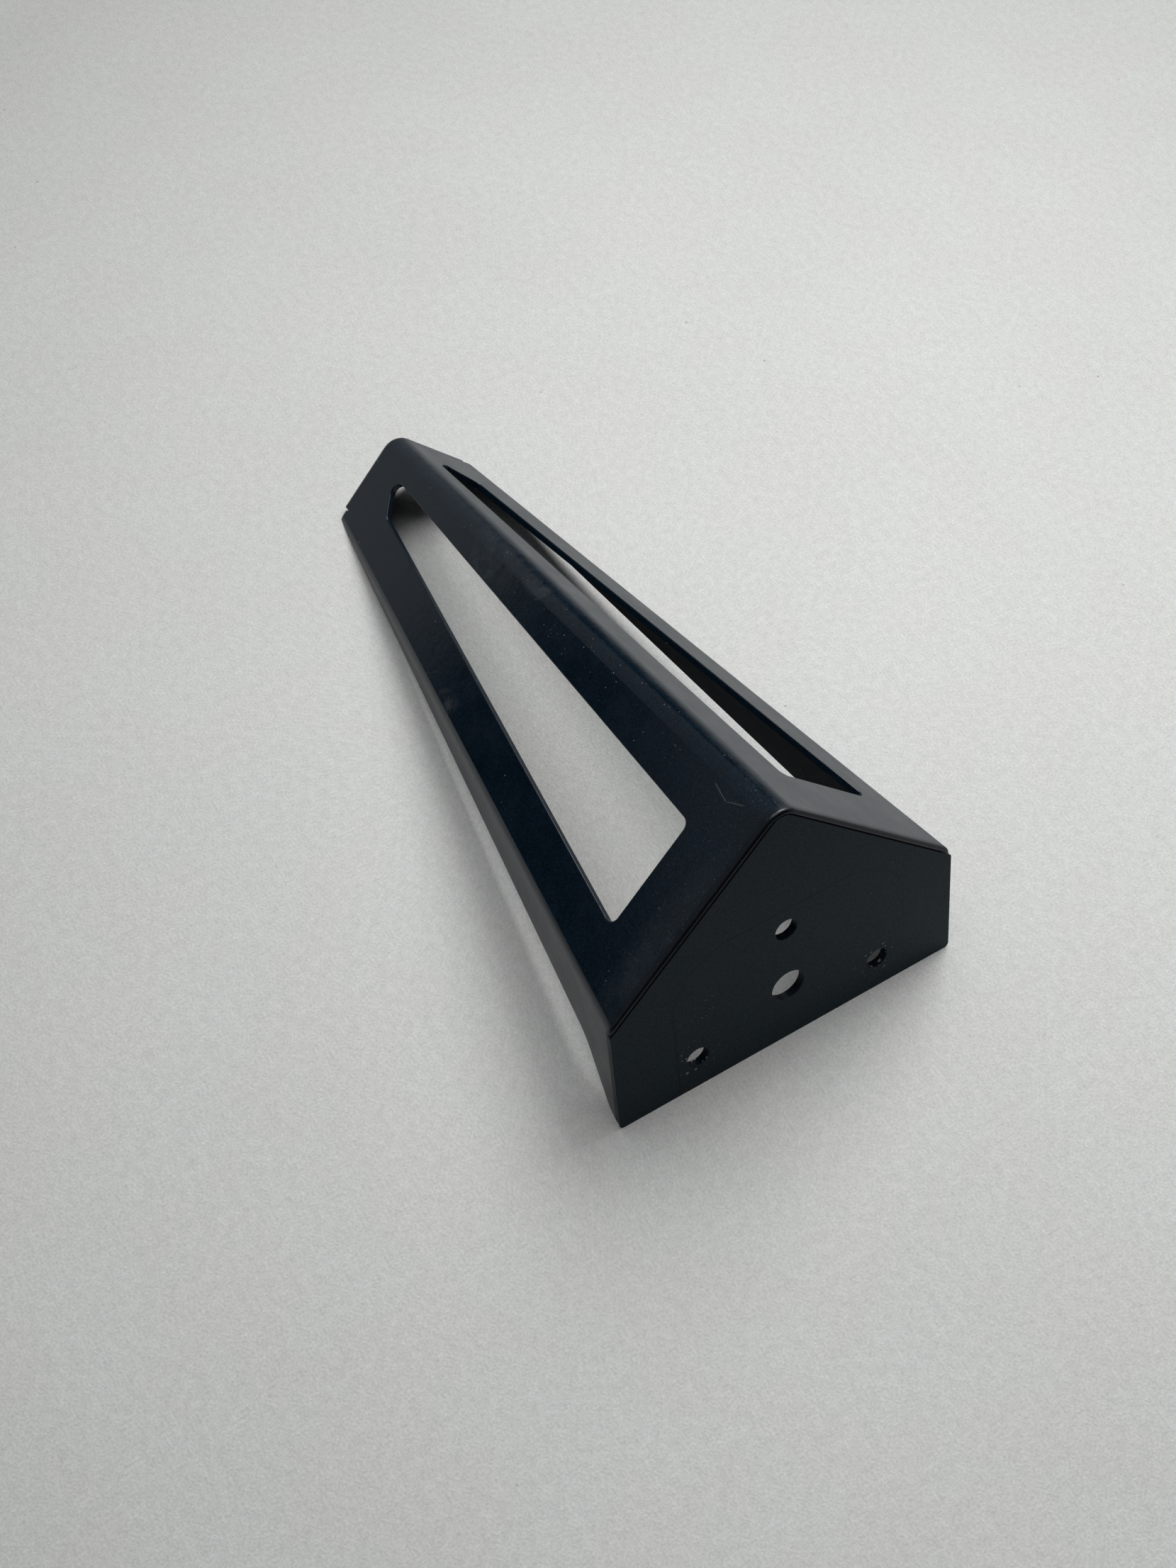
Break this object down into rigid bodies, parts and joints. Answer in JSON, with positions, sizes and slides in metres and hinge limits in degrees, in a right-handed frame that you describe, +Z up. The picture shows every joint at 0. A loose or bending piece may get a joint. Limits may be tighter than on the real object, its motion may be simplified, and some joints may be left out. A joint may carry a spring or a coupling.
{
  "type": "furniture leg",
  "caption": "Tapered folded-sheet furniture leg with a ridged front, two long windows in its slopes, an open back and a drilled mounting plate.",
  "frame": {"origin": "bottom centre of the bounding box of the leg laid on its open back", "axes": "+Z up with the ridge on top, +X towards the mounting plate, +Y across the leg. In use the leg stands with the mounting plate on top: the direction from the foot to the seat is the plate's outward normal."},
  "size_m": [0.1837, 0.088, 0.065],
  "materials": {
    "black_coat_body": "satin black powder coat on bent steel sheet",
    "black_coat_plate": "satin black powder coat on steel plate",
    "black_coat_weld": "satin black powder coat over weld"
  },
  "bodies": {
    "root": {"body_shell": "black_coat_body", "mounting_plate": "black_coat_plate", "weld_right_slope": "black_coat_weld", "weld_left_slope": "black_coat_weld", "weld_right_wall": "black_coat_weld", "weld_left_wall": "black_coat_weld"}
  },
  "joints": []
}
